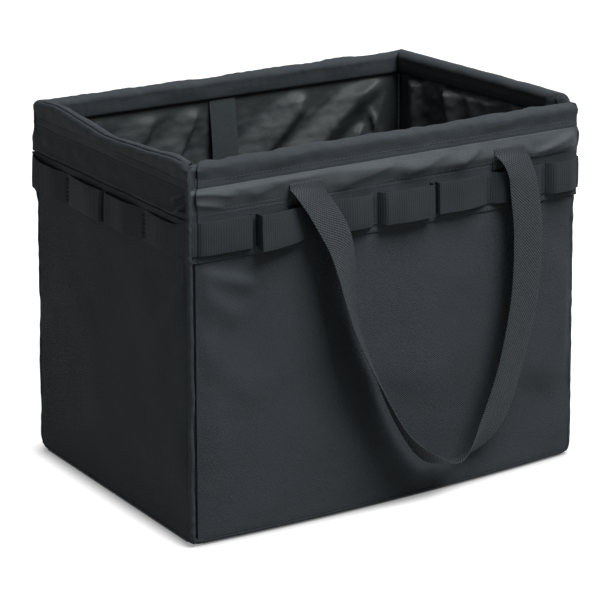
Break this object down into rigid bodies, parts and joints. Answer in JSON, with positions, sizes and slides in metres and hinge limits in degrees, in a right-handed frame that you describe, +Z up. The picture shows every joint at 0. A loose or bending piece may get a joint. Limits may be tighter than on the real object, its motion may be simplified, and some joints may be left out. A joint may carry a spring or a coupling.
{
  "type": "folding car organizer",
  "caption": "Open box of coated cloth over stiff boards, with hanging webbing handles, a looped webbing belt and a rolled rim, that folds flat.",
  "frame": {"origin": "middle of the underside, on the surface that it stands on", "axes": "+X along the front wall from its left end to its right end, +Y from the front wall to the back wall, +Z up"},
  "size_m": [0.378, 0.3518, 0.3],
  "materials": {
    "cloth": "coated plain-weave polyester, matt, charcoal black",
    "lining": "thin satin-like polyester, charcoal black",
    "webbing": "ribbed polypropylene webbing, charcoal black",
    "tape": "hook and loop tape, black",
    "board": "stiff plastic board and rod, hidden in the cloth"
  },
  "bodies": {
    "root": {"backing_back": "cloth", "backing_front": "cloth", "backing_left": "cloth", "backing_right": "cloth", "base_board": "lining", "belt_back_left": "webbing", "belt_back_right": "webbing", "belt_front_left": "webbing", "belt_front_right": "webbing", "belt_left": "webbing", "belt_right": "webbing", "binding_back_left": "lining", "binding_back_right": "lining", "binding_front_left": "lining", "binding_front_right": "lining", "board_back": "board", "board_front": "board", "board_left_a": "board", "board_left_b": "board", "board_right_a": "board", "board_right_b": "board", "closing_strap_back": "webbing", "closing_strap_front": "webbing", "collar_back": "cloth", "collar_front": "cloth", "collar_left": "cloth", "collar_right": "cloth", "handle_back": "webbing", "handle_front": "webbing", "hook_tape": "tape", "lining_back": "lining", "lining_bottom": "lining", "lining_front": "lining", "lining_left": "lining", "lining_right": "lining", "loop_tape": "tape", "outer_back": "cloth", "outer_bottom": "cloth", "outer_front": "cloth", "outer_left": "cloth", "outer_right": "cloth", "piping_back_left": "cloth", "piping_back_right": "cloth", "piping_front_left": "cloth", "piping_front_right": "cloth", "rim_back": "cloth", "rim_front": "cloth", "rim_left": "cloth", "rim_right": "cloth", "rim_rod_back": "board", "rim_rod_front": "board", "rim_rod_left": "board", "rim_rod_right": "board"}
  },
  "joints": []
}
